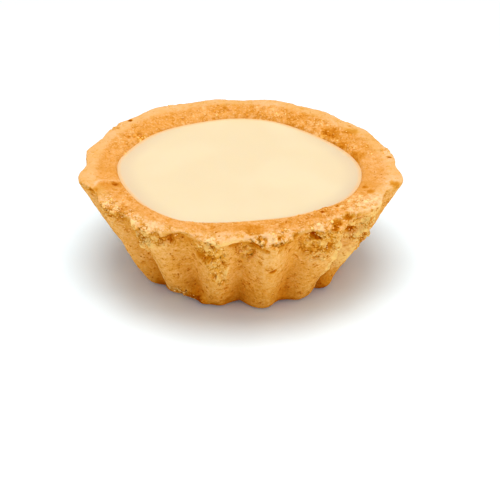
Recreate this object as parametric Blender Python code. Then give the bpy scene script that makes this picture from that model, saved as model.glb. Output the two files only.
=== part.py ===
"""A single-portion milk tart: a fluted shortcrust case filled almost level with set milk custard.

Metres, +Z up. The origin is the middle of the flat underside, and the front of the tart faces -Y.
Each solid is a stack of closed rings round the Z axis, from the pole under it to the pole on top.
"""

import math

import bmesh
import bpy
from mathutils import Vector, noise

MM = 0.001

# Driving sizes of the case.
RIM_RADIUS = 36.0 * MM  # to the crests of the flutes
FOOT_RADIUS = 23.9 * MM  # where the crests' straight line would meet the table
HEIGHT = 23.3 * MM  # to the rim's top at the front
BACK_RISE = 0.5 * MM  # how much higher the rim is at the back
FLUTES = 16
FIRST_CREST = math.radians(10.75)
FOOT_FLUTE_DEPTH = 3.1 * MM
RIM_FLUTE_DEPTH = 3.8 * MM
FOOT_CREST_POWER, RIM_CREST_POWER = 0.6, 0.95  # broad crests at the foot, sharper ones above
FRONT_LEAN = math.radians(2.4)  # how far the flutes at the front lean over by the rim
FOOT_ROUND = 1.8 * MM
WALL_BULGE = 0.5 * MM

# The rim: pressed flat outside, then sloping in to the custard.
LIP_THICKNESS = 1.4 * MM
LIP_GAP_BACK = 0.5 * MM  # how far the rim stays inside the crests between two flutes
LIP_GAP_FRONT = 2.3 * MM
SHOULDER_RADIUS = 32.4 * MM
EDGE_DROP = 0.2 * MM
CUSTARD_RADIUS = 27.5 * MM
CUSTARD_DEPTH_BELOW_RIM = 1.3 * MM

# The hollow that the custard fills, pressed plain and round.
HOLLOW_FOOT_RADIUS = 16.5 * MM
FLOOR_THICKNESS = 4.2 * MM
GAP = 0.3 * MM

# Slow unevenness of the whole outline: direction in degrees, share of the radius, spread in degrees.
RIM_LUMPS = ((128, 0.028, 34), (42, -0.027, 20), (12, -0.014, 6), (350, 0.034, 14), (190, 0.016, 12))
FOOT_LUMPS = ((283, 0.050, 15), (318, 0.022, 12))
HOLLOW_LUMPS = (
    (36, -0.088, 26),
    (60, -0.034, 14),
    (114, -0.014, 16),
    (172, 0.020, 10),
    (205, -0.025, 16),
    (243, 0.020, 10),
    (279, -0.100, 25),
    (308, -0.035, 14),
)

# Where the rim's edge has broken down: direction in degrees, drop, spread in degrees.
EDGE_DROPS = ((234, 0.9 * MM, 8), (259, 0.4 * MM, 7), (281, 1.9 * MM, 8), (304, 1.1 * MM, 8))

# Crests that bulge beyond their flutes, and an uneven foot that fills some channels and is worn away at
# one crest: direction, height, rise, spread in degrees and in height.
BULGES = (
    (229.0, 18.0 * MM, 2.0 * MM, 4.5, 4.2 * MM),
    (310.5, 14.0 * MM, 1.9 * MM, 4.5, 6.5 * MM),
    (327.0, 15.0 * MM, 1.1 * MM, 5.0, 4.5 * MM),
    (226.0, 0.6 * MM, 2.0 * MM, 4.0, 2.8 * MM),
    (235.9, 0.6 * MM, -1.7 * MM, 4.0, 2.6 * MM),
    (248.5, 0.6 * MM, 3.4 * MM, 4.8, 2.8 * MM),
    (264.5, 0.6 * MM, -0.7 * MM, 3.0, 2.6 * MM),
    (286.0, 0.6 * MM, 0.6 * MM, 4.0, 2.6 * MM),
    (292.5, 0.6 * MM, 1.7 * MM, 3.5, 2.6 * MM),
    (301.0, 0.6 * MM, 0.7 * MM, 4.5, 2.6 * MM),
    (309.5, 0.6 * MM, 1.1 * MM, 4.0, 3.0 * MM),
    (318.5, 0.6 * MM, 2.0 * MM, 4.5, 3.0 * MM),
    (327.0, 4.5 * MM, -0.8 * MM, 5.5, 5.0 * MM),
)

# Baked crumb: two sizes of lump, stronger along the rim's edge than on the moulded wall.
SWELL_SIZE, SWELL_HEIGHT = 9.0 * MM, 0.30 * MM
CRUMB_SIZE, CRUMB_HEIGHT = 2.6 * MM, 0.26 * MM
RIM_CRUMB = 1.7

# Places where the crust has crumbled away:
# direction and half width in degrees, height and half height, depth.
WORN_PLACES = (
    (258.6, 6.0, 18.6 * MM, 3.2 * MM, 0.8 * MM),
    (260.9, 3.4, 13.8 * MM, 5.6 * MM, 0.9 * MM),
    (238.5, 7.5, 20.2 * MM, 1.5 * MM, 0.8 * MM),
    (272.5, 3.0, 18.6 * MM, 2.8 * MM, 0.4 * MM),
    (301.5, 6.5, 18.2 * MM, 4.2 * MM, 0.8 * MM),
    (322.0, 4.5, 17.8 * MM, 3.6 * MM, 0.5 * MM),
    (96.0, 4.8, 18.5 * MM, 3.6 * MM, 0.9 * MM),
    (41.0, 4.2, 19.5 * MM, 3.0 * MM, 0.8 * MM),
    (146.0, 4.4, 20.2 * MM, 2.8 * MM, 0.8 * MM),
)

# How finely the rings are cut.
SIDES = FLUTES * 10
WALL_RINGS = 13
FOOT_ROUND_RINGS = 3
CUSTARD_RINGS = (0.33, 0.66)


def mix(a, b, share):
    return a + (b - a) * share


def smooth_step(share):
    share = min(1.0, max(0.0, share))
    return share * share * (3 - 2 * share)


def turn_between(angle, degrees):
    """How far angle lies from a direction, in degrees either way round."""
    return (math.degrees(angle) - degrees + 180) % 360 - 180


def lumps(angle, table):
    """1 plus the bulges and flats that the table names."""
    return 1 + sum(
        share * math.exp(-((turn_between(angle, direction) / spread) ** 2))
        for direction, share, spread in table
    )


def front_share(angle):
    return 0.5 - 0.5 * math.sin(angle)


def crest_share(angle, up):
    """1 on a flute's crest and 0 in the channel between two."""
    lean = FRONT_LEAN * up * front_share(angle) ** 4
    wave = 0.5 + 0.5 * math.cos(FLUTES * (angle - FIRST_CREST - lean))
    return wave ** mix(FOOT_CREST_POWER, RIM_CREST_POWER, up)


def bulge(angle, z):
    """How far the wall stands out here beyond its even flutes."""
    return sum(
        rise * math.exp(-((turn_between(angle, direction) / spread) ** 2 + ((z - height) / tall) ** 2))
        for direction, height, rise, spread, tall in BULGES
    )


def cone_radius(angle, z, channel_depth):
    """The cone through the crests, less the depth of the channels."""
    up = z / HEIGHT
    radius = mix(FOOT_RADIUS, RIM_RADIUS, up) + 4 * up * (1 - up) * WALL_BULGE
    radius -= channel_depth * (1 - crest_share(angle, up))
    return radius * mix(lumps(angle, FOOT_LUMPS), lumps(angle, RIM_LUMPS), up) + bulge(angle, z)


def wall_radius(angle, z):
    """The moulded outer wall."""
    return cone_radius(angle, z, mix(FOOT_FLUTE_DEPTH, RIM_FLUTE_DEPTH, z / HEIGHT))


def lip_radius(angle, z):
    """The rim's outer face, which spans the channels and nearly closes them at the back."""
    return cone_radius(angle, z, mix(LIP_GAP_BACK, LIP_GAP_FRONT, front_share(angle)))


def rim_top(angle):
    return HEIGHT + BACK_RISE * (1 - front_share(angle))


def lip_height(angle):
    """The height of the rim's outer edge."""
    broken = sum(
        drop * math.exp(-((turn_between(angle, direction) / spread) ** 2))
        for direction, drop, spread in EDGE_DROPS
    )
    return rim_top(angle) - EDGE_DROP - broken


def hollow_radius(angle, z):
    """The inner wall, a cone from the floor up to the custard's edge."""
    custard_top = HEIGHT - CUSTARD_DEPTH_BELOW_RIM
    up = (z - FLOOR_THICKNESS) / (custard_top - FLOOR_THICKNESS)
    radius = mix(HOLLOW_FOOT_RADIUS, CUSTARD_RADIUS, up)
    return radius * mix(1, lumps(angle, HOLLOW_LUMPS), up)


def foot_stations(angle):
    """The flat underside and the rounding up to the wall, as (radius, height) pairs."""
    meet = wall_radius(angle, FOOT_ROUND)
    flat = meet - 1.35 * FOOT_ROUND
    stations = [(8 * MM, 0), (15 * MM, 0), (flat, 0)]
    for step in range(1, FOOT_ROUND_RINGS + 1):
        bend = math.radians(65) * step / FOOT_ROUND_RINGS
        out = math.sin(bend) / math.sin(math.radians(65))
        rise = (1 - math.cos(bend)) / (1 - math.cos(math.radians(65)))
        stations.append((mix(flat, meet, out), FOOT_ROUND * rise))
    return stations


def wall_stations(angle):
    top = lip_height(angle) - 1.7 * LIP_THICKNESS
    heights = (mix(FOOT_ROUND, top, step / WALL_RINGS) for step in range(1, WALL_RINGS + 1))
    return [(wall_radius(angle, z), z) for z in heights]


def rim_stations(angle):
    """From the notch under the lip, round its edge and down the inner slope to the custard."""
    lip_top = lip_height(angle)
    lip_foot = lip_top - LIP_THICKNESS
    notch = lip_foot - 0.3 * LIP_THICKNESS
    lip_middle = mix(lip_foot, lip_top, 0.5)
    edge = lip_radius(angle, lip_top)
    shoulder = SHOULDER_RADIUS * lumps(angle, RIM_LUMPS)
    custard_top = HEIGHT - CUSTARD_DEPTH_BELOW_RIM
    inner = hollow_radius(angle, custard_top)
    top = rim_top(angle)
    return [
        (mix(wall_radius(angle, notch), lip_radius(angle, notch), 0.2), notch),
        (mix(wall_radius(angle, lip_foot), lip_radius(angle, lip_foot), 0.8), lip_foot),
        (lip_radius(angle, lip_middle), lip_middle),
        (edge - 0.3 * MM, lip_top),
        (mix(edge, shoulder, 0.35), mix(lip_top, top, 0.45)),
        (mix(edge, shoulder, 0.70), mix(lip_top, top, 0.85)),
        (shoulder, top),
        (mix(shoulder, inner, 0.35), mix(top, custard_top, 0.08)),
        (mix(shoulder, inner, 0.65), mix(top, custard_top, 0.22)),
        (mix(shoulder, inner, 0.90), mix(top, custard_top, 0.46)),
    ]


def hollow_stations(angle):
    top = HEIGHT - CUSTARD_DEPTH_BELOW_RIM
    middle = mix(HEIGHT, FLOOR_THICKNESS, 0.5)
    return [
        (hollow_radius(angle, top), top),
        (hollow_radius(angle, middle), middle),
        (hollow_radius(angle, FLOOR_THICKNESS), FLOOR_THICKNESS),
    ]


def place(radius, angle, z):
    return Vector((radius * math.cos(angle), radius * math.sin(angle), z))


def worn_depth(angle, radius, z):
    """How much crust is missing here: hollows with a soft edge, outside the rim's shoulder only."""
    depth = 0.0
    for direction, half_width, height, half_height, deep in WORN_PLACES:
        across = turn_between(angle, direction) / half_width
        along = (z - height) / half_height
        depth = max(depth, deep * smooth_step(1.6 - 1.6 * math.hypot(across, along)))
    inside = smooth_step((SHOULDER_RADIUS - radius) / (2 * MM)) * smooth_step((z - 20 * MM) / MM)
    return depth * (1 - inside)


def crumble(radius, angle, z):
    """A point of the outer wall or rim, moved in and out by the relief of the baked crumb."""
    point = place(radius, angle, z)
    up = z / HEIGHT
    on_top = smooth_step((RIM_RADIUS - 0.5 * MM - radius) / (2 * MM)) if up > 0.8 else 0.0
    outward = Vector((math.cos(angle), math.sin(angle), 0.0)).lerp(Vector((0, 0, 1)), 0.8 * on_top)
    swell = noise.noise(point / SWELL_SIZE) * SWELL_HEIGHT
    strength = mix(0.6, RIM_CRUMB, smooth_step((up - 0.7) / 0.3))
    crumb = noise.noise(point / CRUMB_SIZE) * CRUMB_HEIGHT * strength
    worn = worn_depth(angle, radius, z)
    crumb *= 1 + 1.2 * worn / MM
    fade = smooth_step(z / (3 * MM))
    return point + outward * ((swell + crumb - worn) * fade)


def stacked_solid(name, rings, low_pole, high_pole):
    """A closed mesh object from rings of equal length, with a pole on the axis at either end."""
    shape = bmesh.new()
    stack = [[shape.verts.new(point) for point in ring] for ring in rings]
    low, high = (shape.verts.new((0.0, 0.0, z)) for z in (low_pole, high_pole))
    for side in range(SIDES):
        after = (side + 1) % SIDES
        shape.faces.new((low, stack[0][after], stack[0][side]))
        for lower, upper in zip(stack, stack[1:]):
            shape.faces.new((lower[side], lower[after], upper[after], upper[side]))
        shape.faces.new((high, stack[-1][side], stack[-1][after]))
    mesh = bpy.data.meshes.new(name)
    shape.to_mesh(mesh)
    shape.free()
    mesh.shade_smooth()
    made = bpy.data.objects.new(name, mesh)
    bpy.context.scene.collection.objects.link(made)
    return made


def ring_angles():
    return [2 * math.pi * side / SIDES for side in range(SIDES)]


def pastry_case():
    angles = ring_angles()
    columns = []
    for angle in angles:
        shown = foot_stations(angle) + wall_stations(angle) + rim_stations(angle)
        points = [crumble(radius, angle, z) for radius, z in shown]
        points += [place(radius, angle, z) for radius, z in hollow_stations(angle)]
        columns.append(points)
    rings = list(zip(*columns))
    return stacked_solid("pastry_case", rings, 0.0, FLOOR_THICKNESS)


def milk_custard():
    """Fills the hollow up to its level, with a hair of clearance to the crust."""
    foot, level = FLOOR_THICKNESS + GAP, HEIGHT - CUSTARD_DEPTH_BELOW_RIM
    heights = (foot, mix(foot, level, 0.5), level)
    outline = [
        [(hollow_radius(angle, z) - 1.3 * GAP, angle, z) for angle in ring_angles()] for z in heights
    ]
    rings = [[place(*spot) for spot in ring] for ring in outline]
    for share in reversed(CUSTARD_RINGS):
        rings.append([place(radius * share, angle, z) for radius, angle, z in outline[-1]])
    return stacked_solid("milk_custard", rings, foot, level)


def give_material(made, name, colour, roughness):
    material = bpy.data.materials.new(name)
    material.use_nodes = True
    surface = material.node_tree.nodes["Principled BSDF"]
    surface.inputs["Base Color"].default_value = (*colour, 1.0)
    surface.inputs["Roughness"].default_value = roughness
    surface.inputs["Metallic"].default_value = 0.0
    made.data.materials.append(material)


def clear_scene():
    for leftover in list(bpy.data.objects):
        bpy.data.objects.remove(leftover, do_unlink=True)


clear_scene()
give_material(pastry_case(), "baked shortcrust", (0.78, 0.40, 0.12), 0.8)
give_material(milk_custard(), "milk custard", (0.96, 0.78, 0.50), 0.4)
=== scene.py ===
import inspect
import math

import bpy
from mathutils import Euler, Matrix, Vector


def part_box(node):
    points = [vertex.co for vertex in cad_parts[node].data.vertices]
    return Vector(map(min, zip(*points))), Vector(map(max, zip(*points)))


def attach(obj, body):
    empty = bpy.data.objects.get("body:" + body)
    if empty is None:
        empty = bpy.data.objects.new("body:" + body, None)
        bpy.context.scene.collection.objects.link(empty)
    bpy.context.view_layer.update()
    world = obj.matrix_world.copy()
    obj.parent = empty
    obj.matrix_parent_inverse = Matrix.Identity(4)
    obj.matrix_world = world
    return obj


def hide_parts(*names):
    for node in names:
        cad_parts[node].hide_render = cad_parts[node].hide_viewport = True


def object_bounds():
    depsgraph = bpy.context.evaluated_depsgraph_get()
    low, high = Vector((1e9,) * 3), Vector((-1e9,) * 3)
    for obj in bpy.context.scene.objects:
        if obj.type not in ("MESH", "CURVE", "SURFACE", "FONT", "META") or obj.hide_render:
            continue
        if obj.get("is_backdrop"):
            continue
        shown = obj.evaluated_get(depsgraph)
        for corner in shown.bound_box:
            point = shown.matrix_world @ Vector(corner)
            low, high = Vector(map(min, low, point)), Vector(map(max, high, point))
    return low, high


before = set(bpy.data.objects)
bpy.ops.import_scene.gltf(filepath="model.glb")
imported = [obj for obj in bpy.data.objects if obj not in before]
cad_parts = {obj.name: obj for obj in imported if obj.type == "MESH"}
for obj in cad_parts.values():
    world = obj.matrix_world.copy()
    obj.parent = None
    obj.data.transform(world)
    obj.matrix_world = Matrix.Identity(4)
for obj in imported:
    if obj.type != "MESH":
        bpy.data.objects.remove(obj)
cad_box = [list(corner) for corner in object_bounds()]

MM = 0.001

# The camera's place, found from the outlines of the rim, the foot and the custard.
CAMERA_HEIGHT = math.radians(29.5)
CAMERA_DISTANCE = 360 * MM
CAMERA_TARGET = Vector((2.21, 0.0, 1.19)) * MM
LENS = 111.4

# The custard's level comes from the frame, and the case is built up round it.
custard_low, custard_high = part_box("milk_custard")
CUSTARD_LEVEL = custard_high.z
GAP = 0.3 * MM
CUSTARD_DEPTH = 1.3 * MM  # below the rim's top
FLOOR = custard_low.z - GAP

# Sizes of the case, which its tree takes as named inputs.
CASE_SIZES = {
    "Height": CUSTARD_LEVEL + CUSTARD_DEPTH,
    "Back Rise": 0.5 * MM,
    "Rim Radius": 36.0 * MM,
    "Foot Radius": 23.9 * MM,
    "Flutes": 16.0,
    "First Crest": math.radians(10.75),
    "Foot Flute Depth": 3.1 * MM,
    "Rim Flute Depth": 3.8 * MM,
    "Foot Crest Power": 0.6,
    "Rim Crest Power": 0.95,
    "Front Lean": math.radians(2.4),
    "Foot Round": 1.8 * MM,
    "Wall Bulge": 0.5 * MM,
    "Lip Thickness": 1.4 * MM,
    "Lip Gap Back": 0.5 * MM,
    "Lip Gap Front": 2.3 * MM,
    "Edge Drop": 0.2 * MM,
    "Shoulder Radius": 32.4 * MM,
    "Custard Radius": 27.5 * MM,
    "Custard Level": CUSTARD_LEVEL,
    "Hollow Foot Radius": 16.5 * MM,
    "Floor": FLOOR,
}

MERGE_DISTANCE = 0.001 * MM  # points nearer than this become one
FOOT_INSET = 1.35  # how far in the foot's rounding starts, in its own height
FOOT_BEND = math.radians(65)  # how far the rounding turns up by the wall
NOTCH_SHARE = 0.3  # height of the notch under the lip, in the lip's thickness
WALL_TOP_SHARE = 1.7  # how far below the lip's top the plain wall ends, in the same
EDGE_ROUND = 0.3 * MM  # how far in the lip's edge is rounded

# Slow unevenness of the outlines: direction in degrees, share of the radius, spread in degrees.
RIM_LUMPS = ((128, 0.028, 34), (42, -0.027, 20), (12, -0.014, 6), (350, 0.034, 14), (190, 0.016, 12))
FOOT_LUMPS = ((283, 0.050, 15), (318, 0.022, 12))
HOLLOW_LUMPS = (
    (36, -0.088, 26),
    (60, -0.034, 14),
    (114, -0.014, 16),
    (172, 0.020, 10),
    (205, -0.025, 16),
    (243, 0.020, 10),
    (279, -0.100, 25),
    (308, -0.035, 14),
)
# Where the rim's edge has broken down: direction, drop, spread.
EDGE_DROPS = ((234, 0.9 * MM, 8), (259, 0.4 * MM, 7), (281, 1.9 * MM, 8), (304, 1.1 * MM, 8))

# Crests that bulge beyond their flutes, and the uneven foot: direction, height, rise, spread in degrees
# and in height.
BULGES = (
    (229.0, 18.0 * MM, 2.0 * MM, 4.5, 4.2 * MM),
    (310.5, 14.0 * MM, 1.9 * MM, 4.5, 6.5 * MM),
    (327.0, 15.0 * MM, 1.1 * MM, 5.0, 4.5 * MM),
    (226.0, 0.6 * MM, 2.0 * MM, 4.0, 2.8 * MM),
    (235.9, 0.6 * MM, -1.7 * MM, 4.0, 2.6 * MM),
    (248.5, 0.6 * MM, 3.4 * MM, 4.8, 2.8 * MM),
    (264.5, 0.6 * MM, -0.7 * MM, 3.0, 2.6 * MM),
    (286.0, 0.6 * MM, 0.6 * MM, 4.0, 2.6 * MM),
    (292.5, 0.6 * MM, 1.7 * MM, 3.5, 2.6 * MM),
    (301.0, 0.6 * MM, 0.7 * MM, 4.5, 2.6 * MM),
    (309.5, 0.6 * MM, 1.1 * MM, 4.0, 3.0 * MM),
    (318.5, 0.6 * MM, 2.0 * MM, 4.5, 3.0 * MM),
    (327.0, 4.5 * MM, -0.8 * MM, 5.5, 5.0 * MM),
)

# Places where the crust has crumbled away: direction, half width, height, half height, depth.
WORN_PLACES = (
    (258.6, 6.0, 18.6 * MM, 3.2 * MM, 0.8 * MM),
    (260.9, 3.4, 13.8 * MM, 5.6 * MM, 0.9 * MM),
    (238.5, 7.5, 20.2 * MM, 1.5 * MM, 0.8 * MM),
    (272.5, 3.0, 18.6 * MM, 2.8 * MM, 0.4 * MM),
    (301.5, 6.5, 18.2 * MM, 4.2 * MM, 0.8 * MM),
    (322.0, 4.5, 17.8 * MM, 3.6 * MM, 0.5 * MM),
    (96.0, 4.8, 18.5 * MM, 3.6 * MM, 0.9 * MM),
    (41.0, 4.2, 19.5 * MM, 3.0 * MM, 0.8 * MM),
    (146.0, 4.4, 20.2 * MM, 2.8 * MM, 0.8 * MM),
)

# Places that are coarse and crumbly: direction, half width, height, half height.
ROUGH_PLACES = (
    (236.5, 11.0, 20.3 * MM, 3.2 * MM),
    (229.5, 4.0, 17.0 * MM, 6.0 * MM),
    (259.5, 6.5, 18.0 * MM, 5.0 * MM),
    (261.0, 4.0, 13.5 * MM, 6.5 * MM),
    (276.5, 4.0, 22.0 * MM, 2.0 * MM),
    (285.0, 5.5, 21.6 * MM, 2.0 * MM),
    (303.5, 8.0, 18.6 * MM, 5.0 * MM),
    (311.5, 3.0, 14.0 * MM, 6.5 * MM),
    (327.0, 7.0, 16.5 * MM, 6.0 * MM),
    (217.5, 8.0, 22.4 * MM, 2.0 * MM),
    (238.0, 7.0, 1.6 * MM, 2.6 * MM),
    (248.5, 5.0, 0.8 * MM, 2.2 * MM),
    (96.0, 7.0, 18.5 * MM, 4.6 * MM),
    (118.0, 7.0, 20.8 * MM, 2.8 * MM),
    (68.0, 8.0, 20.4 * MM, 3.2 * MM),
    (41.0, 7.0, 19.0 * MM, 4.6 * MM),
    (11.0, 7.0, 20.6 * MM, 3.2 * MM),
    (146.0, 7.0, 19.5 * MM, 4.2 * MM),
    (171.0, 6.0, 21.0 * MM, 2.4 * MM),
)

# Spots on the crust that are browner or paler, and stand in or out:
# direction, distance from the middle, height, reach, browning, rise.
SPOTS = (
    (195.8, 28.8, 23.1, 0.7, 1.6, -0.4),
    (138.8, 35.1, 23.6, 0.5, 3.5, -0.2),
    (6.2, 34.1, 23.5, 0.6, 3.2, -0.3),
    (284.3, 34.0, 22.5, 0.45, 3.2, -0.2),
    (308.8, 28.2, 23.0, 0.5, 2.2, -0.1),
    (316.5, 28.8, 23.0, 0.4, 2.0, 0.0),
    (338.2, 29.6, 23.2, 0.7, 1.0, -0.1),
    (334.9, 31.6, 23.5, 0.9, 0.8, 0.0),
    (344.5, 35.2, 23.0, 1.3, 1.1, -0.4),
    (3.0, 31.5, 23.3, 5.0, -0.1, 0.0),
    (327.0, 33.0, 18.0, 6.0, -0.85, 0.0),
    (303.5, 33.0, 18.5, 4.5, -0.17, 0.0),
    (321.0, 28.8, 9.4, 3.6, -0.8, 0.0),
    (237.0, 33.6, 20.4, 3.6, -0.4, 0.0),
    (213.0, 32.0, 22.8, 4.0, -0.12, 0.0),
    (39.9, 27.4, 23.2, 2.6, 0.9, -0.2),
    (33.9, 31.0, 23.7, 2.0, 0.7, -0.1),
    (25.4, 26.0, 22.6, 1.8, 0.8, -0.2),
    (11.0, 26.9, 22.5, 2.2, 0.7, -0.2),
    (272.5, 29.2, 23.0, 2.2, 0.35, -0.1),
    (276.5, 30.4, 23.1, 2.2, 0.55, -0.2),
    (277.5, 33.2, 22.6, 0.7, 1.6, -0.3),
    (313.7, 33.4, 23.0, 1.2, 1.5, -0.5),
    (308.2, 33.6, 22.9, 1.2, 1.4, -0.5),
    (305.9, 34.6, 22.4, 0.8, 1.8, -0.4),
    (319.8, 31.2, 17.5, 0.9, 2.6, -0.5),
    (290.4, 33.8, 22.6, 0.9, 1.4, -0.5),
    (297.4, 33.3, 21.3, 1.4, 1.2, -0.5),
    (305.6, 33.3, 16.7, 1.3, 1.1, -0.6),
    (286.7, 34.4, 20.0, 1.7, 0.7, -0.3),
    (219.5, 32.6, 22.0, 1.6, 1.2, -0.5),
    (199.0, 34.3, 21.8, 1.6, 1.2, -0.3),
    (218.6, 33.6, 23.1, 0.8, -1.1, 0.3),
    (228.8, 34.3, 22.6, 1.0, -1.2, 0.3),
    (275.6, 34.4, 22.6, 1.2, -1.1, 0.3),
    (260.5, 35.0, 22.6, 1.2, -0.9, 0.2),
    (300.8, 32.6, 23.0, 0.5, -1.0, 0.1),
    (235.0, 34.0, 18.6, 1.2, -0.9, 0.3),
    (236.5, 23.6, 1.6, 1.3, -1.2, 0.2),
    (295.5, 22.1, 0.5, 1.6, 1.3, -0.3),
    (221.5, 23.4, 1.2, 1.8, 0.9, -0.1),
    (241.5, 23.6, 1.0, 1.3, 0.9, -0.2),
    (248.0, 24.6, 1.2, 2.0, 0.7, 0.1),
    (257.0, 24.5, 1.0, 1.2, 0.9, -0.2),
    (264.5, 24.8, 2.2, 1.3, 0.8, -0.2),
    (320.3, 23.8, 1.0, 1.3, 0.9, -0.2),
)

# Lines on the wall, crevices and the sharp edges of flutes: from a direction and height to another,
# half width, browning, rise. The dark lines paint shade in flute channels and under the rim's lip; the pale
# ones along sharp flute edges are partly painted highlight and partly paler worn crumb.
LINES = (
    (232.6, 21.5, 238.0, 20.7, 0.45, 1.3, -0.4),
    (238.0, 20.8, 243.7, 20.1, 0.45, 1.1, -0.45),
    (243.7, 20.8, 247.6, 21.6, 0.9, 0.5, -0.5),
    (247.6, 21.4, 249.6, 19.6, 0.7, 0.4, -0.4),
    (229.6, 22.4, 230.6, 2.5, 0.45, -0.9, 0.25),
    (225.6, 19.5, 226.2, 3.5, 1.3, 0.7, 0.0),
    (311.0, 19.0, 310.4, 2.5, 0.45, -0.9, 0.25),
    (309.6, 16.5, 309.4, 8.0, 0.9, -0.9, 0.15),
    (314.6, 18.0, 314.2, 3.0, 1.2, 0.5, 0.0),
    (262.5, 22.3, 273.4, 22.7, 0.5, -0.8, 0.15),
    (267.5, 21.0, 275.0, 20.8, 0.7, 0.9, -0.4),
    (275.0, 20.8, 279.5, 19.6, 0.5, 1.2, -0.4),
    (294.6, 21.4, 297.6, 21.9, 0.6, 0.8, -0.4),
    (297.0, 20.6, 300.6, 19.2, 0.4, 2.0, -0.4),
    (282.0, 13.3, 283.8, 13.5, 0.35, 2.4, -0.3),
    (252.8, 16.6, 255.4, 16.0, 0.5, 1.3, -0.4),
    (257.2, 16.4, 259.0, 15.6, 0.5, 1.2, -0.4),
    (265.5, 14.5, 263.0, 9.5, 0.18, -0.9, 0.1),
)

WALL_RADIUS = 33.0 * MM  # at which those lines are measured

# Where one lobe of the rim folds down over the next, with a painted highlight on the lobe's edge and painted
# shadow on the lower side: direction, drop, browning, degrees to run out.
FOLDS = ((195.2, 0.45, 0.4, 9.0),)

# How rough the rim's top is in each direction, beyond what it is all round: share, spread.
RIM_ROUGHNESS = (
    (5, 0.16, 50),
    (312, 0.55, 22),
    (284, 0.50, 20),
    (250, 0.50, 20),
    (219, 0.75, 13),
    (75, 0.10, 40),
)
SLOPE_ROUGHNESS = (
    (95, 0.36, 55),
    (35, 0.40, 34),
    (155, 0.28, 22),
    (313, 0.40, 22),
    (276, 0.30, 24),
    (244, 0.25, 18),
    (212, 0.45, 14),
)

# How the mesh of the case is cut: columns round it, and rows for each stretch of its profile.
CASE_COLUMNS = 704
UNDERSIDE_ROWS, FOOT_ROWS, WALL_ROWS, LIP_ROWS = 4, 3, 62, 4
TOP_ROWS, SLOPE_ROWS, HOLLOW_ROWS = 4, 8, 3
WALL_START = UNDERSIDE_ROWS + 3 * FOOT_ROWS
LIP_START = WALL_START + WALL_ROWS
TOP_START = LIP_START + 4 * LIP_ROWS
SLOPE_START = TOP_START + 3 * TOP_ROWS
HOLLOW_START = SLOPE_START + 3 * SLOPE_ROWS
CASE_ROWS = HOLLOW_START + 4 * HOLLOW_ROWS


def srgb(red, green, blue):
    """A colour given as it shows on a screen, 0 to 255, as the linear values that Blender takes."""
    shares = (red / 255, green / 255, blue / 255)
    return tuple(s / 12.92 if s <= 0.04045 else ((s + 0.055) / 1.055) ** 2.4 for s in shares)


# --- Node trees written as sums ---------------------------------------------------------------


def feed(tree, socket, value):
    """Links a Field to an input, or sets a plain value on it."""
    if isinstance(value, Field):
        tree.links.new(value.socket, socket)
    else:
        socket.default_value = value


def added(tree, kind, values=(), output=0, **settings):
    """A new node with its settings and inputs, as the Field of one of its outputs."""
    node = tree.nodes.new(kind)
    for name, value in settings.items():
        setattr(node, name, value)
    pairs = values.items() if isinstance(values, dict) else enumerate(values)
    for socket, value in pairs:
        feed(tree, node.inputs[socket], value)
    return Field(tree, node.outputs[output])


class Field:
    """A value in a node tree. Python's operators on it add the Math nodes."""

    def __init__(self, tree, socket):
        self.tree = tree
        self.socket = socket

    def tree_value(self, value):
        """A plain number as a Field of the same tree."""
        return added(self.tree, "ShaderNodeMath", (value, 0.0), operation="ADD")

    def math(self, operation, *others):
        return added(self.tree, "ShaderNodeMath", (self, *others), operation=operation)

    def __add__(self, other):
        return self.math("ADD", other)

    def __mul__(self, other):
        return self.math("MULTIPLY", other)

    def __sub__(self, other):
        return self.math("SUBTRACT", other)

    def __rsub__(self, other):
        return added(self.tree, "ShaderNodeMath", (other, self), operation="SUBTRACT")

    def __truediv__(self, other):
        return self.math("DIVIDE", other)

    def __pow__(self, other):
        return self.math("POWER", other)

    __radd__ = __add__
    __rmul__ = __mul__


def mix(a, b, share):
    """From a to b, of plain numbers or Fields."""
    if not isinstance(share, Field):
        return a + (b - a) * share
    return added(share.tree, "ShaderNodeMix", {0: share, 2: a, 3: b}, data_type="FLOAT")


def mix_colour(a, b, share):
    """From colour a to colour b, each of them a tuple or a Field."""
    a, b = ((*colour, 1.0) if isinstance(colour, tuple) else colour for colour in (a, b))
    return added(share.tree, "ShaderNodeMix", {0: share, 6: a, 7: b}, 2, data_type="RGBA")


def ramp(value, start, end, eased=True):
    """0 where value is at start and 1 where it is at end, held level beyond both."""
    values = {"Value": value, "From Min": start, "From Max": end}
    kind = "SMOOTHSTEP" if eased else "LINEAR"
    return added(value.tree, "ShaderNodeMapRange", values, interpolation_type=kind)


def largest(a, b):
    return a.math("MAXIMUM", b)


NOISE_SPREAD = 3.2  # brings Blender's noise, which lies round 0.5, to about -1 to 1


def grain(point, size, detail=0.0, rough=0.5, seed=0.0):
    """Noise from about -1 to 1, with lumps of this size."""
    values = {"Vector": point, "W": seed, "Scale": 1.0 / size, "Detail": detail, "Roughness": rough}
    noise = added(point.tree, "ShaderNodeTexNoise", values, noise_dimensions="4D")
    return noise * NOISE_SPREAD - NOISE_SPREAD / 2


def cells(point, size, output="Distance", feature="F1"):
    """Voronoi cells of this size: 0 at the middle of each, about 1 between two."""
    values = {"Vector": point, "Scale": 1.0 / size}
    return added(point.tree, "ShaderNodeTexVoronoi", values, output, feature=feature)


def stretched(point, x, y, z):
    return added(point.tree, "ShaderNodeVectorMath", (point, (x, y, z)), operation="MULTIPLY")


def shaken(point, size, reach):
    """The point moved about by up to this reach, so that what is drawn from it has ragged outlines."""
    values = {"Vector": point, "Scale": 1.0 / size, "Detail": 2.0}
    push = added(point.tree, "ShaderNodeTexNoise", values, "Color")
    push = added(point.tree, "ShaderNodeVectorMath", (push, (0.5, 0.5, 0.5)), operation="SUBTRACT")
    push = added(point.tree, "ShaderNodeVectorMath", {0: push, 3: 2.0 * reach}, operation="SCALE")
    return added(point.tree, "ShaderNodeVectorMath", (point, push), operation="ADD")


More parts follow.
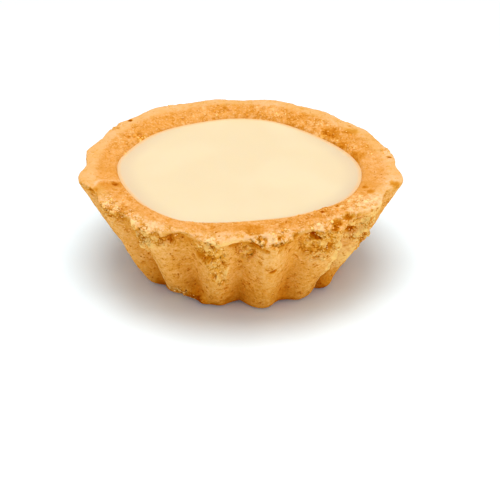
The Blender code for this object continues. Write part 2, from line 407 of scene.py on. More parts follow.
def chance(point, size):
    """A random number from 0 to 1 for each Voronoi cell of this size."""
    return added(point.tree, "ShaderNodeSeparateXYZ", (cells(point, size, "Color"),), 0)


def pits(point, size, share, widest):
    """1 in the middle of small hollows, which this share of the cells have, and 0 outside them."""
    reach = ((chance(point, size) - (1.0 - share)) * (widest / share)).math("MAXIMUM", 0.001)
    return ramp(cells(point, size), reach, reach * 0.35)


def formula(make):
    """Makes a sum of Fields into a node group once, and uses that group wherever the sum is called."""
    labels = list(inspect.signature(make).parameters)
    made = []

    def build():
        group = bpy.data.node_groups.new(make.__name__, "GeometryNodeTree")
        for label in labels:
            kind = "NodeSocketVector" if label in ("point", "middle") else "NodeSocketFloat"
            group.interface.new_socket(label, in_out="INPUT", socket_type=kind)
        source = group.nodes.new("NodeGroupInput")
        results = make(*(Field(group, source.outputs[label]) for label in labels))
        results = results if isinstance(results, tuple) else (results,)
        for number in range(len(results)):
            group.interface.new_socket(f"result {number}", in_out="OUTPUT", socket_type="NodeSocketFloat")
        sink = group.nodes.new("NodeGroupOutput")
        for socket, result in zip(sink.inputs, results):
            feed(group, socket, result)
        return group

    def use(*values):
        if not made:
            made.append(build())
        tree = next(value.tree for value in values if isinstance(value, Field))
        node = tree.nodes.new("GeometryNodeGroup")
        node.node_tree = made[0]
        for label, value in zip(labels, values):
            feed(tree, node.inputs[label], value)
        results = tuple(Field(tree, socket) for socket in node.outputs)
        return results[0] if len(results) == 1 else results

    return use


def turn_from(angle, direction):
    """How far round the angle lies from a direction, both in radians, either way round."""
    return (angle - direction).math("WRAP", math.pi, -math.pi)


@formula
def with_bump(total, angle, direction, size, spread):
    """The total with a bump of this size in one direction, which fades away on both sides of it."""
    turn = turn_from(angle, direction) / spread
    return (turn * turn * -1.0).math("EXPONENT") * size + total


def bumps(angle, table, level=0.0):
    """The level with every bump of a table of (direction in degrees, size, spread in degrees)."""
    for direction, size, spread in table:
        level = with_bump(level, angle, math.radians(direction), size, math.radians(spread))
    return level


# --- Geometry Nodes ---------------------------------------------------------------------------


class Shape:
    """A Geometry Nodes tree with named sizes, whose result becomes a plain mesh object."""

    def __init__(self, name, sizes):
        self.name = name
        self.sizes = sizes
        self.tree = bpy.data.node_groups.new(name, "GeometryNodeTree")
        self.tree.interface.new_socket("Geometry", in_out="OUTPUT", socket_type="NodeSocketGeometry")
        for label, value in sizes.items():
            kind = "NodeSocketObject" if isinstance(value, bpy.types.Object) else "NodeSocketFloat"
            self.tree.interface.new_socket(label, in_out="INPUT", socket_type=kind)
        self.inputs = self.tree.nodes.new("NodeGroupInput")

    def size(self, label):
        return Field(self.tree, self.inputs.outputs[label])

    def add(self, kind, values=(), output=0, **settings):
        return added(self.tree, "GeometryNode" + kind, values, output, **settings)

    def set_position(self, geometry, point):
        return self.add("SetPosition", {"Geometry": geometry, "Position": point})

    def store(self, geometry, name, value):
        return self.add("StoreNamedAttribute", {"Geometry": geometry, "Name": name, "Value": value})

    def stored(self, name):
        return self.add("InputNamedAttribute", {"Name": name})

    def kept(self, geometry, name, value):
        """Stores a value once, and returns the geometry with the Field that reads it back."""
        return self.store(geometry, name, value), self.stored(name)

    def vector(self, x, y, z):
        return added(self.tree, "ShaderNodeCombineXYZ", (x, y, z))

    def axis(self, vector, index):
        return added(self.tree, "ShaderNodeSeparateXYZ", (vector,), index)

    def finish(self, geometry, material):
        """Ends the tree, and returns what it makes as a mesh object with no modifier left on it."""
        geometry = self.add("SetShadeSmooth", {"Geometry": geometry})
        geometry = self.add("RealizeInstances", {"Geometry": geometry})
        geometry = self.add("SetMaterial", {"Geometry": geometry, "Material": material})
        feed(self.tree, self.tree.nodes.new("NodeGroupOutput").inputs[0], geometry)
        piece = bpy.data.objects.new(self.name, bpy.data.meshes.new(self.name))
        bpy.context.scene.collection.objects.link(piece)
        modifier = piece.modifiers.new("shape", "NODES")
        modifier.node_group = self.tree
        for item in self.tree.interface.items_tree:
            if item.in_out == "INPUT":
                modifier[item.identifier] = self.sizes[item.name]
        graph = bpy.context.evaluated_depsgraph_get()
        mesh = bpy.data.meshes.new_from_object(
            piece.evaluated_get(graph), preserve_all_data_layers=True, depsgraph=graph
        )
        piece.modifiers.clear()
        piece.data = mesh
        return piece


def sheet_of_rows(shape, columns, rows):
    """A flat grid, with the Fields that say how far round and how many rows up each point lies."""
    values = {"Size X": 1.0, "Size Y": 1.0, "Vertices X": columns + 1, "Vertices Y": rows + 1}
    grid = shape.add("MeshGrid", values)
    where = shape.add("InputPosition")
    angle = (shape.axis(where, 0) + 0.5) * (2 * math.pi)
    row = (shape.axis(where, 1) + 0.5) * float(rows)
    return grid, angle, row


def through_stations(row, stations):
    """Radius and height at each row, along straight runs between (rows, radius, height) stations."""
    (_, radius, height), *others = stations
    radius, height = (x if isinstance(x, Field) else row * 0.0 + x for x in (radius, height))
    start = 0
    for rows, next_radius, next_height in others:
        share = ramp(row, float(start), float(start + rows), eased=False)
        radius, height = mix(radius, next_radius, share), mix(height, next_height, share)
        start += rows
    return radius, height


def turned(shape, angle, radius, height):
    return shape.vector(radius * angle.math("COSINE"), radius * angle.math("SINE"), height)


# --- The pastry case --------------------------------------------------------------------------


@formula
def crest_share(angle, up, lean, flutes, first_crest, foot_power, rim_power):
    """1 on a flute's crest and 0 in the channel between two."""
    wave = ((angle - first_crest - lean * up) * flutes).math("COSINE") * 0.5 + 0.5
    return wave ** mix(foot_power, rim_power, up)


@formula
def cone_radius(crest, up, foot_radius, rim_radius, wall_bulge, foot_depth, rim_depth, foot_lumps, rim_lumps):
    """The cone through the crests, less the depth of the channels."""
    radius = mix(foot_radius, rim_radius, up) + up * (1.0 - up) * wall_bulge * 4.0
    radius = radius - mix(foot_depth, rim_depth, up) * (1.0 - crest)
    return radius * mix(foot_lumps, rim_lumps, up)


@formula
def with_swelling(total, angle, z, direction, height, rise, spread, tall):
    turn = turn_from(angle, direction) / spread
    above = (z - height) / tall
    return ((turn * turn + above * above) * -1.0).math("EXPONENT") * rise + total


class CaseForm:
    """The moulded form of the case, as Fields of the direction and the height."""

    def __init__(self, shape, angle):
        self.size = shape.size
        self.angle = angle
        self.front = 0.5 - angle.math("SINE") * 0.5
        self.lean = self.front**4.0 * self.size("Front Lean")
        self.rim_lumps = bumps(angle, RIM_LUMPS, 1.0)
        self.foot_lumps = bumps(angle, FOOT_LUMPS, 1.0)
        self.hollow_lumps = bumps(angle, HOLLOW_LUMPS, 1.0)

    def crest(self, up):
        powers = self.size("Foot Crest Power"), self.size("Rim Crest Power")
        return crest_share(self.angle, up, self.lean, self.size("Flutes"), self.size("First Crest"), *powers)

    def cone(self, z, foot_depth, rim_depth):
        up = z / self.size("Height")
        radii = self.size("Foot Radius"), self.size("Rim Radius"), self.size("Wall Bulge")
        depths = foot_depth, rim_depth
        radius = cone_radius(self.crest(up), up, *radii, *depths, self.foot_lumps, self.rim_lumps)
        for direction, height, rise, spread, tall in BULGES:
            turns = math.radians(direction), math.radians(spread)
            radius = with_swelling(radius, self.angle, z, turns[0], height, rise, turns[1], tall)
        return radius

    def wall(self, z):
        return self.cone(z, self.size("Foot Flute Depth"), self.size("Rim Flute Depth"))

    def lip(self, z):
        gap = mix(self.size("Lip Gap Back"), self.size("Lip Gap Front"), self.front)
        return self.cone(z, gap, gap)

    def rim_top(self):
        return self.size("Height") + (1.0 - self.front) * self.size("Back Rise")

    def lip_height(self):
        return self.rim_top() - self.size("Edge Drop") - bumps(self.angle, EDGE_DROPS)

    def hollow(self, up):
        radius = mix(self.size("Hollow Foot Radius"), self.size("Custard Radius"), up)
        return radius * ((self.hollow_lumps - 1.0) * up + 1.0)


def foot_stations(form):
    """The flat underside and the rounding up to the wall."""
    rounding = form.size("Foot Round")
    meet = form.wall(rounding)
    flat = meet - rounding * FOOT_INSET
    stations = [(0, 0.0, 0.0), (UNDERSIDE_ROWS, flat, 0.0)]
    for step in (1, 2, 3):
        bend = FOOT_BEND * step / 3
        out = math.sin(bend) / math.sin(FOOT_BEND)
        rise = (1 - math.cos(bend)) / (1 - math.cos(FOOT_BEND))
        stations.append((FOOT_ROWS, mix(flat, meet, out), rounding * rise))
    return stations


def rim_stations(form):
    """From under the lip, round its edge and down the inner slope to the custard."""
    size = form.size
    thickness = size("Lip Thickness")
    lip_top = form.lip_height()
    lip_foot = lip_top - thickness
    notch = lip_foot - thickness * NOTCH_SHARE
    lip_middle = lip_top - thickness * 0.5
    edge = form.lip(lip_top)
    shoulder = form.rim_lumps * size("Shoulder Radius")
    inner = form.hollow(1.0)
    top = form.rim_top()
    level = size("Custard Level")
    return [
        (LIP_ROWS, mix(form.wall(notch), form.lip(notch), 0.2), notch),
        (LIP_ROWS, mix(form.wall(lip_foot), form.lip(lip_foot), 0.8), lip_foot),
        (LIP_ROWS, form.lip(lip_middle), lip_middle),
        (LIP_ROWS, edge - EDGE_ROUND, lip_top),
        (TOP_ROWS, mix(edge, shoulder, 0.35), mix(lip_top, top, 0.45)),
        (TOP_ROWS, mix(edge, shoulder, 0.70), mix(lip_top, top, 0.85)),
        (TOP_ROWS, shoulder, top),
        (SLOPE_ROWS, mix(shoulder, inner, 0.35), mix(top, level, 0.08)),
        (SLOPE_ROWS, mix(shoulder, inner, 0.65), mix(top, level, 0.22)),
        (SLOPE_ROWS, mix(shoulder, inner, 0.90), mix(top, level, 0.46)),
        (HOLLOW_ROWS, inner, level),
    ]


def pastry_case(material):
    shape = Shape("tart_crust", CASE_SIZES)
    grid, angle, row = sheet_of_rows(shape, CASE_COLUMNS, CASE_ROWS)
    form = CaseForm(shape, angle)
    size = shape.size

    wall_top = form.lip_height() - size("Lip Thickness") * WALL_TOP_SHARE
    level, floor = size("Custard Level"), size("Floor")
    stations = foot_stations(form)
    stations.append((WALL_ROWS, form.wall(wall_top), wall_top))
    stations += rim_stations(form)
    stations += [
        (HOLLOW_ROWS, form.hollow(0.5), mix(floor, level, 0.5)),
        (HOLLOW_ROWS, form.hollow(0.0), floor),
        (HOLLOW_ROWS, 0.0, floor),
    ]
    radius, height = through_stations(row, stations)
    on_wall = ramp(row, WALL_START - 0.4, WALL_START - 0.3) * ramp(row, LIP_START + 0.4, LIP_START + 0.3)
    radius = mix(radius, form.wall(height), on_wall)

    crust = shape.store(grid, "row", row)
    crust = shape.set_position(crust, turned(shape, angle, radius, height))
    crust = shape.add("MergeByDistance", {"Geometry": crust, "Distance": MERGE_DISTANCE})
    point = shape.add("InputPosition")
    blurred = shape.add("BlurAttribute", {"Value": point, "Iterations": 3}, data_type="FLOAT_VECTOR")
    crust = shape.set_position(crust, blurred)
    return shape.finish(crumbled(shape, crust), material)


@formula
def out_of_place(angle, z, direction, half_width, height, half_height):
    """How far out of a place a point lies: 0 in its middle and 1 at its outline."""
    across = turn_from(angle, direction) / half_width
    along = (z - height) / half_height
    return (across * across + along * along).math("SQRT")


def place_reach(angle, z, place):
    direction, half_width, height, half_height = place
    return out_of_place(angle, z, math.radians(direction), math.radians(half_width), height, half_height)


def worn_share(point, angle, height):
    """1 where crust has crumbled away, with a ragged edge, and the depth that is missing."""
    ragged = grain(point, 2.2 * MM, detail=2.0, rough=0.6, seed=3.0) * 0.45
    share, depth = point.tree_value(0.0), point.tree_value(0.0)
    for *place, deep in WORN_PLACES:
        here = ramp(place_reach(angle, height, place) + ragged, 1.12, 0.85)
        share = largest(share, here)
        depth = largest(depth, here * deep)
    return share, depth


def off_underside(row):
    """0 on the flat underside and 1 above it, for what is placed by direction and height alone."""
    return ramp(row, UNDERSIDE_ROWS - 1.0, UNDERSIDE_ROWS + 1.0)


def rough_share(point, angle, height, row):
    """From 0 on crust that is pressed smooth to 1 where it is coarse and crumbly."""
    patchy = grain(point, 3.6 * MM, detail=2.0, seed=8.0) * 0.3
    rough = point.tree_value(0.0)
    for place in ROUGH_PLACES:
        rough = largest(rough, ramp(place_reach(angle, height, place) + patchy, 1.35, 0.55))
    rough = rough * ramp(row, SLOPE_START + 4.0, TOP_START + 4.0) * off_underside(row)
    on_top = ramp(row, TOP_START - 2.0, TOP_START + 4.0)
    on_slope = ramp(row, SLOPE_START - 2.0, SLOPE_START + 7.0)
    top = bumps(angle, RIM_ROUGHNESS) + 0.12 + patchy * 0.5
    slope = bumps(angle, SLOPE_ROUGHNESS) + 0.2 + patchy * 0.5
    return largest(rough, mix(mix(0.12, top, on_top), slope, on_slope)).math("MINIMUM", 1.0)


@formula
def with_line(browning, rise, angle, z, ragged, start, start_z, end, end_z, half_width, brown, lift):
    """Adds a line drawn on the wall from one direction, in radians, and height to another."""
    half_across = (end - start) * (0.5 * WALL_RADIUS)
    half_up = (end_z - start_z) * 0.5
    across = turn_from(angle, (start + end) * 0.5) * WALL_RADIUS
    up = z - (start_z + end_z) * 0.5
    along = (across * half_across + up * half_up) / (half_across * half_across + half_up * half_up)
    along = along.math("MAXIMUM", -1.0).math("MINIMUM", 1.0)
    across, up = across - along * half_across, up - along * half_up
    out = (across * across + up * up).math("SQRT") / half_width
    here = ramp(out + ragged, 1.7, 0.5)
    return browning + here * brown, rise + here * lift


@formula
def with_spot(browning, rise, point, ragged, middle, reach, brown, lift):
    """Adds a round spot with a ragged outline."""
    far = added(point.tree, "ShaderNodeVectorMath", (point, middle), "Value", operation="DISTANCE")
    here = ramp(far / reach + ragged, 1.35, 0.45)
    return browning + here * brown, rise + here * lift


@formula
def with_fold(browning, rise, angle, outward, ragged, direction, drop, brown, run_out):
    """Adds a step from a lobe of the rim down to the one beside it, with a painted highlight along the lobe's
    edge and painted shadow on the lower side.
    """
    bend = ramp(outward, 31.5 * MM, 35.5 * MM) * 0.11
    turn = turn_from(angle + ragged * 0.02 - bend, direction) / run_out
    # Painted shadow on the lower side of the step, and painted highlight on the lobe's edge above it.
    under = ramp(turn, -0.08, 0.06) * ramp(turn, 1.0, 0.1)
    lobe = ramp(turn, -0.3, -0.1) * ramp(turn, 0.02, -0.06)
    return browning + under * brown - lobe * 0.3, rise - under * drop


def drawn_on(point, angle, z, on_top):
    """The darkening and the rise from the spots, lines and folds: brown spots, painted shade in crevices,
    channels and under folds, and painted highlights on pale edges.
    """
    ragged = grain(point, 1.1 * MM, detail=2.0, rough=0.7, seed=21.0) * 0.6
    flat = stretched(point, 1.0, 1.0, 0.0)
    outward = added(point.tree, "ShaderNodeVectorMath", (flat,), "Value", operation="LENGTH")
    browning, rise = point.tree_value(0.0), point.tree_value(0.0)
    for start, start_height, end, end_height, half_width, brown, lift in LINES:
        line = math.radians(start), start_height * MM, math.radians(end), end_height * MM, half_width * MM
        browning, rise = with_line(browning, rise, angle, z, ragged, *line, brown, lift * MM)
    browning, rise = browning * (1.0 - on_top), rise * (1.0 - on_top)
    folded, dropped = point.tree_value(0.0), point.tree_value(0.0)
    for direction, drop, brown, run_out in FOLDS:
        fold = math.radians(direction), drop * MM, brown, math.radians(run_out)
        folded, dropped = with_fold(folded, dropped, angle, outward, ragged, *fold)
    browning, rise = browning + folded * on_top, rise + dropped * on_top
    for direction, distance, height, reach, brown, lift in SPOTS:
        turn = math.radians(direction)
        middle = (distance * math.cos(turn) * MM, distance * math.sin(turn) * MM, height * MM)
        browning, rise = with_spot(browning, rise, point, ragged, middle, reach * MM, brown, lift * MM)
    return browning, rise


# The relief of the baked crumb, from the broadest to the finest: size and rise of each kind.
SWELL_SIZE, SWELL_RISE = 9.0 * MM, 0.30 * MM
LUMP_SIZE, LUMP_RISE = 2.8 * MM, 0.20 * MM
FACET_SIZE, FACET_RISE, CREVICE_DEPTH = 1.7 * MM, 0.70 * MM, 0.35 * MM
GRANULE_SIZE, GRANULE_RISE = 1.05 * MM, 0.40 * MM
GRIT_SIZE, GRIT_RISE = 0.8 * MM, 0.12 * MM
HOLE_SPACING = 2.6 * MM
RELIEF_UNIT = 0.3 * MM  # in which the small relief is stored for the material


def crumbled(shape, crust):
    """Moves the smooth case in and out along its normals by the relief of the baked crumb."""
    point = shape.add("InputPosition")
    x, y, z = (shape.axis(point, index) for index in range(3))
    angle = y.math("ARCTAN2", x)
    row = shape.stored("row")
    normal = shape.add("InputNormal")

    worn, depth = worn_share(point, angle, z)
    crust, worn = shape.kept(crust, "worn", worn)
    crust, depth = shape.kept(crust, "depth", depth)
    crust, rough = shape.kept(crust, "rough", largest(rough_share(point, angle, z, row), worn))
    crust, on_top = shape.kept(crust, "top", ramp(row, TOP_START - 4.0, TOP_START + 3.0))
    browning, rise = drawn_on(point, angle, z, on_top)
    # Painted shade: the channels between the flutes are painted darker than the crests, more so in the lowest
    # 9 mm. The wall is also darker all round within 2.5 mm of the floor.
    channel = (1.0 - CaseForm(shape, angle).crest(z / shape.size("Height"))) * off_underside(row)
    browning = browning + channel * ramp(z, 9.0 * MM, 1.0 * MM) * 0.6 + ramp(z, 2.5 * MM, 0.5 * MM) * 0.4
    browning = browning + (channel * 0.35 - 0.15) * (1.0 - on_top)
    crust, browning = shape.kept(crust, "browning", browning)
    crust, rise = shape.kept(crust, "rise", rise)
    crust = shape.store(crust, "slope", ramp(row, SLOPE_START - 2.0, SLOPE_START + 7.0))

    swell = grain(point, SWELL_SIZE) * SWELL_RISE
    lumps = grain(point, LUMP_SIZE, detail=1.0) * LUMP_RISE
    bent = shaken(point, 1.4 * MM, 0.45 * MM)
    facets = (chance(bent, FACET_SIZE) - 0.5) * FACET_RISE
    crevice = ramp(cells(bent, FACET_SIZE, feature="DISTANCE_TO_EDGE"), 0.14, 0.02)
    granules = (0.45 - cells(shaken(point, 0.9 * MM, 0.2 * MM), GRANULE_SIZE)) * GRANULE_RISE
    grit = grain(point, GRIT_SIZE, detail=2.0, rough=0.6) * GRIT_RISE
    holes = pits(shaken(point, 1.0 * MM, 0.3 * MM), HOLE_SPACING, 0.45, 0.30)
    small = (facets - crevice * CREVICE_DEPTH) * (rough * rough) + granules * rough + grit * (rough + 0.35)
    small = small - holes * (rough * 0.35 + 0.25) * MM
    # Nothing stands out of the underside, or where the custard lies against the crust.
    shown = ramp(z, 0.0, 3.0 * MM) * ramp(row, HOLLOW_START + 0.5, HOLLOW_START - 3.0)
    # The small relief is kept for the material, which paints shade in its hollows and light on its raised
    # tips.
    crust, small = shape.kept(crust, "hollow", small * shown * (1.0 / RELIEF_UNIT))
    relief = (swell + lumps * (rough * 0.6 + 0.5) - depth + rise) * shown + small * RELIEF_UNIT
    offset = added(shape.tree, "ShaderNodeVectorMath", {0: normal, 3: relief}, operation="SCALE")
    return shape.add("SetPosition", {"Geometry": crust, "Offset": offset})


# --- The custard ------------------------------------------------------------------------------

CUSTARD_COLUMNS = 320
CUSTARD_FOOT_ROWS, CUSTARD_WALL_ROWS, CUSTARD_TOP_ROWS = 4, 5, 40
# Its edge, where it clings to the crust: rows, how far past the hollow's outline, how far above the level.
CUSTARD_EDGE = ((3, 0.45 * MM, 0.10 * MM), (3, -0.15 * MM, 0.14 * MM), (4, -1.0 * MM, 0.02 * MM))
CUSTARD_EDGE_ROWS = sum(rows for rows, past, above in CUSTARD_EDGE)
CUSTARD_ROWS = CUSTARD_FOOT_ROWS + CUSTARD_WALL_ROWS + CUSTARD_EDGE_ROWS + CUSTARD_TOP_ROWS
CUSTARD_CLEARANCE = 1.3 * GAP
RIPPLE_SIZE, RIPPLE_RISE = 7.0 * MM, 0.05 * MM


def milk_custard(material):
    sizes = {label: CASE_SIZES[label] for label in ("Custard Radius", "Custard Level", "Hollow Foot Radius")}
    sizes["Floor"] = FLOOR
    shape = Shape("custard_filling", sizes)
    grid, angle, row = sheet_of_rows(shape, CUSTARD_COLUMNS, CUSTARD_ROWS)
    edge = bumps(angle, HOLLOW_LUMPS, 1.0) * shape.size("Custard Radius")
    level = shape.size("Custard Level")
    foot = shape.size("Floor") + GAP
    stations = [
        (0, 0.0, foot),
        (CUSTARD_FOOT_ROWS, shape.size("Hollow Foot Radius") - CUSTARD_CLEARANCE, foot),
        (CUSTARD_WALL_ROWS, edge - CUSTARD_CLEARANCE - 0.3 * MM, level - 0.8 * MM),
        *((rows, edge + past, level + above) for rows, past, above in CUSTARD_EDGE),
        (CUSTARD_TOP_ROWS, 0.0, level),
    ]
    radius, height = through_stations(row, stations)
    filling = shape.store(grid, "inside", edge - radius)
    filling = shape.set_position(filling, turned(shape, angle, radius, height))
    filling = shape.add("MergeByDistance", {"Geometry": filling, "Distance": MERGE_DISTANCE})
    point = shape.add("InputPosition")
    ripple = grain(point, RIPPLE_SIZE) * RIPPLE_RISE * ramp(shape.axis(point, 2), FLOOR, CUSTARD_LEVEL)
    filling = shape.add("SetPosition", {"Geometry": filling, "Offset": shape.vector(0.0, 0.0, ripple)})
    return shape.finish(filling, material)


# --- Crumbs that stick to the coarse places ---------------------------------------------------

CRUMB_CLEARANCE = (0.55 * MM, 0.85 * MM)  # heights above the underside where crumbs begin
ROUGH_ENOUGH = (0.45, 0.95)  # roughness of the crust where the first crumbs and the most lie
FULL_TURN = 6.2832
SCATTER_SEED, TURN_SEED, WIDTH_SEED, TONE_SEED = 4, 5, 6, 7
LUMP_SEEDS = (1.0, 2.0, 3.0)


def random_share(shape, seed):
    """A random number from 0 to 1 for each crumb."""
    return added(shape.tree, "FunctionNodeRandomValue", {2: 0.0, 3: 1.0, "Seed": seed}, 1)


def crumb_lump(shape, seed):
    """One angular lump, about 1 across."""
    ball = shape.add("MeshIcoSphere", {"Radius": 0.5, "Subdivisions": 2})
    point = shape.add("InputPosition")
    dents = grain(point, 0.55, seed=seed) * 0.28
    push = added(shape.tree, "ShaderNodeVectorMath", {0: point, 3: dents + 1.0}, operation="SCALE")
    return shape.set_position(ball, push)


def stuck_crumbs(crust, material):
    sizes = {"Crust": crust, "Smallest": 0.22 * MM, "Largest": 0.65 * MM, "Crumbs To A Square Metre": 0.45e6}
    shape = Shape("tart_crumbs", sizes)
    surface = shape.add("ObjectInfo", {"Object": shape.size("Crust")}, "Geometry")
    rough = shape.stored("rough")
    height = shape.axis(shape.add("InputPosition"), 2)
    clear_of_underside = ramp(height, *CRUMB_CLEARANCE)
    wanted = ramp(rough, *ROUGH_ENOUGH) * clear_of_underside * shape.size("Crumbs To A Square Metre")
    values = {"Mesh": surface, "Density": wanted, "Seed": SCATTER_SEED}
    scattered = shape.add("DistributePointsOnFaces", values)
    turns = {"Min": (0.0, 0.0, 0.0), "Max": (FULL_TURN, FULL_TURN, FULL_TURN), "Seed": TURN_SEED}
    turn = added(shape.tree, "FunctionNodeRandomValue", turns, data_type="FLOAT_VECTOR")
    tone = random_share(shape, TONE_SEED)
    # The power makes small crumbs far more common than large ones.
    width = mix(shape.size("Smallest"), shape.size("Largest"), random_share(shape, WIDTH_SEED) ** 2.5)
    scattered = shape.store(scattered, "tone", tone)
    lumps = shape.tree.nodes.new("GeometryNodeJoinGeometry")
    for seed in LUMP_SEEDS:
        lump = shape.add("GeometryToInstance", {"Geometry": crumb_lump(shape, seed)})
        shape.tree.links.new(lump.socket, lumps.inputs[0])
    values = {
        "Points": scattered,
        "Instance": Field(shape.tree, lumps.outputs[0]),
        "Pick Instance": True,
        "Rotation": turn,
        "Scale": width,
    }
    return shape.finish(shape.add("InstanceOnPoints", values), material)


# --- Materials --------------------------------------------------------------------------------

# The share of red, green and blue that is left where the crust is one step browner, from real browning and
# from painted shade.
BROWNING = (0.79, 0.59, 0.16)

WALL_FOOT_COLOUR = srgb(221, 145, 49)
WALL_TOP_COLOUR = srgb(233, 165, 80)
RIM_COLOUR = srgb(224, 171, 106)
RIM_SLOPE_COLOUR = srgb(216, 150, 74)
WORN_COLOUR = srgb(242, 180, 78)
COARSE_COLOUR = srgb(240, 166, 60)
# Pale grain colours: partly the crumb's own pale grains, partly painted highlight where the crust is painted
# palest.
PALE_WALL_GRAIN = srgb(252, 208, 122)
PALE_RIM_GRAIN = srgb(252, 216, 150)
DARK_CRUMB = srgb(230, 156, 58)
PALE_CRUMB = srgb(254, 212, 130)
CUSTARD_COLOURS = srgb(224, 204, 163), srgb(226, 208, 168)
# The custard's painted shade, at its left and right sides near the rim.
CUSTARD_SIDE_COLOUR = srgb(216, 194, 158)
CUSTARD_EDGE_COLOUR = srgb(232, 184, 124)


def new_material(name):
    """A material's tree with its Principled BSDF, whose plain values are set on its own sockets."""
    material = bpy.data.materials.new(name)
    material.use_nodes = True
    tree = material.node_tree
    return material, tree, tree.nodes["Principled BSDF"]


def make_dry(surface):
    """The finish of baked crumb, with no gloss at all."""
    surface.inputs["Roughness"].default_value = 0.8
    surface.inputs["Specular IOR Level"].default_value = 0.0


def object_point(tree):
    return added(tree, "ShaderNodeTexCoord", (), "Object")


def attribute(tree, name):
    return added(tree, "ShaderNodeAttribute", (), "Fac", attribute_name=name)


def browned(colour, much):
    """The colour made darker and deeper by this much, for real browning and for painted shade, or paler where
    it is below 0, for painted light.
    """
    shares = [added(much.tree, "ShaderNodeMath", (kept, much), operation="POWER") for kept in BROWNING]
    tint = added(much.tree, "ShaderNodeCombineXYZ", shares)
    return added(much.tree, "ShaderNodeVectorMath", (colour, tint), operation="MULTIPLY")


def shortcrust_material():
    """Golden pastry: paler where it is pressed smooth, deep orange with painted shade in crevices, pores,
    gaps, hollows and flute channels, and painted light on raised grains.
    """
    material, tree, surface = new_material("shortcrust")
    point = object_point(tree)
    z = added(tree, "ShaderNodeSeparateXYZ", (point,), 2)
    top = attribute(tree, "top")
    slope = attribute(tree, "slope")
    worn = attribute(tree, "worn")
    rough = attribute(tree, "rough")
    hollow = attribute(tree, "hollow")
    browning = attribute(tree, "browning")

    wall = mix_colour(WALL_FOOT_COLOUR, WALL_TOP_COLOUR, ramp(z, 2.0 * MM, 19.0 * MM))
    rim = mix_colour(RIM_COLOUR, RIM_SLOPE_COLOUR, slope)
    colour = mix_colour(wall, rim, top)
    colour = mix_colour(colour, WORN_COLOUR, worn * 0.5)
    colour = mix_colour(colour, COARSE_COLOUR, rough * (0.5 - top * 0.3))

    # Grains of crumb, each with its own tone, and the gaps that some of them leave between them, painted dark
    # as shade.
    # From here on, "much" is how much browner or darker than its plain colour the crust is: partly real
    # browning and tone, partly painted shade, and below 0 painted light.
    bent = shaken(point, 0.8 * MM, 0.25 * MM)
    tone = chance(bent, 0.7 * MM)
    gap = ramp(cells(bent, 0.7 * MM, feature="DISTANCE_TO_EDGE"), 0.24, 0.03)
    gap = gap * ramp(grain(point, 1.6 * MM, seed=9.0), -0.3, 0.5)
    broad = grain(point, 7.0 * MM, detail=2.0)
    mottle = grain(point, 1.2 * MM, detail=2.0, rough=0.6)
    fine = grain(point, 0.5 * MM, detail=1.5, rough=0.65)
    flat = stretched(shaken(point, 1.0 * MM, 0.3 * MM), 1.0, 1.0, 2.2)
    streaks = grain(flat, 0.9 * MM, detail=2.0, rough=0.65)
    cracks = ramp(streaks.math("ABSOLUTE"), 0.20, 0.05) * ramp(grain(point, 1.3 * MM, seed=5.0), 0.25, 0.75)
    pores = pits(shaken(point, 0.5 * MM, 0.15 * MM), 0.7 * MM, 0.30, 0.40)
    pores = pores * ramp(grain(point, 2.2 * MM, detail=1.0, seed=6.0), -0.5, 0.6)
    dots = pits(shaken(point, 0.6 * MM, 0.2 * MM), 1.0 * MM, 0.55, 0.30)
    dots = dots * ramp(grain(point, 4.0 * MM, detail=1.0, seed=11.0), -0.5, 0.3) * (1.0 - top)
    grainy = mix(1.2, rough * 1.1 + 0.13, top)
    # Painted shade and light: pores, cracks and the low parts of the grain and streaks are painted darker,
    # their raised parts paler.
    much = broad * 0.25 + mottle * grainy * 0.35 + (fine * 0.5 + pores * 2.3) * (grainy + slope * 0.4)
    drawn = ramp(streaks, 0.3, 1.0) * 0.9 - ramp(streaks, -0.2, -1.1) * 0.3 + cracks * 2.0
    much = much + drawn * (1.0 - top * 0.75) - (1.0 - top) * 0.03
    # Painted shade in the gaps between grains, and painted light on the raised grains, on coarse crust.
    much = much + (gap * 1.7 + tone * -0.9 + 0.2) * rough * rough - rough * top * 0.14
    # Painted shade in the hollows of the relief, and painted light on its raised tips.
    much = much + ramp(hollow, -0.3, -1.8) * mix(0.9, 0.5, slope) - ramp(hollow, 0.35, 1.3) * 0.35
    much = much + browning * 1.2 + dots * 2.6
    specks = pits(point, 6.0 * MM, 0.10, 0.06)
    colour = browned(colour, (much + specks * 3.0).math("MAXIMUM", -0.3))
    # Painted highlight: where the crust is painted palest it turns towards a pale grain colour, partly the
    # crumb's own pale grains.
    pale_grain = mix_colour(PALE_WALL_GRAIN, PALE_RIM_GRAIN, top)
    colour = mix_colour(colour, pale_grain, ramp(much, -0.2, -1.1) * (top * 0.15 + 0.65))
    feed(tree, surface.inputs["Base Color"], colour)
    make_dry(surface)

    height = mottle * -0.3 - fine * 0.5 - streaks * 0.4 - pores + (tone * 0.7 - gap * 0.6) * rough
    values = {"Strength": 1.0, "Distance": 0.16 * MM, "Height": height}
    feed(tree, surface.inputs["Normal"], added(tree, "ShaderNodeBump", values))
    return material


def crumb_material():
    """Loose crumb, paler than the crust it broke from."""
    material, tree, surface = new_material("crumb")
    tone = attribute(tree, "tone")
    feed(tree, surface.inputs["Base Color"], mix_colour(DARK_CRUMB, PALE_CRUMB, ramp(tone, 0.1, 0.9)))
    make_dry(surface)
    return material


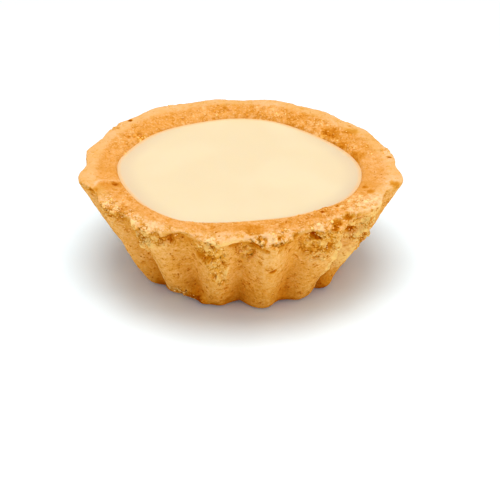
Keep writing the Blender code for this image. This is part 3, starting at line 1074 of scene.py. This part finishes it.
def custard_material():
    """Pale set custard with a soft sheen, with painted shade at its left and right sides near the rim, and
    orange within a millimetre of the crust.
    """
    material, tree, surface = new_material("custard")
    point = object_point(tree)
    tone = grain(point, 14.0 * MM, detail=1.0)
    colour = mix_colour(*CUSTARD_COLOURS, ramp(tone, -0.5, 0.5))
    inside = attribute(tree, "inside")
    across = added(tree, "ShaderNodeSeparateXYZ", (point,), 0).math("ABSOLUTE")
    # Painted shade on the custard near the rim, at its left and right sides.
    at_sides = ramp(inside, 5.0 * MM, 0.5 * MM) * ramp(across, 8.0 * MM, 24.0 * MM)
    colour = mix_colour(colour, CUSTARD_SIDE_COLOUR, at_sides)
    colour = mix_colour(colour, CUSTARD_EDGE_COLOUR, ramp(inside, 1.0 * MM, 0.1 * MM) * 0.85)
    feed(tree, surface.inputs["Base Color"], colour)
    surface.inputs["Roughness"].default_value = 0.42
    surface.inputs["Subsurface Weight"].default_value = 0.5
    surface.inputs["Subsurface Radius"].default_value = (1.0, 0.75, 0.45)
    surface.inputs["Subsurface Scale"].default_value = 1.2 * MM
    return material


# --- The studio -------------------------------------------------------------------------------

FLOOR_REACH = 3.0
FLOOR_COLOUR = (0.83, 0.95, 1.0, 1.0)
SKY_COLOUR, SKY_STRENGTH = (0.90, 1.03, 1.17, 1.0), 0.46
# Large soft panels that face the tart: name, place, width, height, power, colour.
PANELS = (
    ("overhead", (0.0, 0.03, 0.70), 0.5, 0.5, 4.6, (1.06, 0.97, 0.90)),
    ("front", (0.0, -0.72, 0.24), 0.9, 0.2, 0.85, (1.04, 0.99, 0.95)),
    ("left", (-0.7, -0.35, 0.13), 0.5, 0.2, 0.7, (1.0, 1.0, 1.0)),
    ("right", (0.7, -0.35, 0.13), 0.5, 0.2, 1.5, (1.0, 1.0, 1.0)),
)
PANEL_AIM = Vector((0.0, 0.0, 0.01))


def floor():
    mesh = bpy.data.meshes.new("studio_floor")
    far = FLOOR_REACH
    corners = [(-far, -far, 0), (far, -far, 0), (far, far, 0), (-far, far, 0)]
    mesh.from_pydata(corners, [], [(0, 1, 2, 3)])
    made = bpy.data.objects.new("studio_floor", mesh)
    bpy.context.scene.collection.objects.link(made)
    material, _, surface = new_material("floor paint")
    surface.inputs["Base Color"].default_value = FLOOR_COLOUR
    surface.inputs["Roughness"].default_value = 0.5
    mesh.materials.append(material)
    made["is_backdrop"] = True


def soft_light(name, place, width, height, power, colour):
    data = bpy.data.lights.new(name, "AREA")
    data.shape = "RECTANGLE"
    data.size = width
    data.size_y = height
    data.energy = power
    data.color = colour
    made = bpy.data.objects.new(name, data)
    bpy.context.scene.collection.objects.link(made)
    made.location = place
    made.rotation_euler = (PANEL_AIM - Vector(place)).to_track_quat("-Z", "Y").to_euler()


def studio():
    world = bpy.data.worlds.new("studio")
    bpy.context.scene.world = world
    world.use_nodes = True
    background = world.node_tree.nodes["Background"]
    background.inputs["Color"].default_value = SKY_COLOUR
    background.inputs["Strength"].default_value = SKY_STRENGTH
    for panel in PANELS:
        soft_light(*panel)
    bpy.context.scene.view_settings.view_transform = "Standard"


def camera():
    data = bpy.data.cameras.new("camera")
    data.lens = LENS
    data.clip_start = 0.01
    made = bpy.data.objects.new("camera", data)
    bpy.context.scene.collection.objects.link(made)
    away = Vector((0.0, -math.cos(CAMERA_HEIGHT), math.sin(CAMERA_HEIGHT)))
    made.location = CAMERA_TARGET + away * CAMERA_DISTANCE
    made.rotation_euler = Euler((math.pi / 2 - CAMERA_HEIGHT, 0.0, 0.0))
    bpy.context.scene.camera = made


camera()
studio()
floor()

crust = pastry_case(shortcrust_material())
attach(crust, "root")
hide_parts("pastry_case")

crumbs = stuck_crumbs(crust, crumb_material())
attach(crumbs, "root")

custard = milk_custard(custard_material())
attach(custard, "root")
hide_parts("milk_custard")

dressed_box = [list(corner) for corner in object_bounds()]
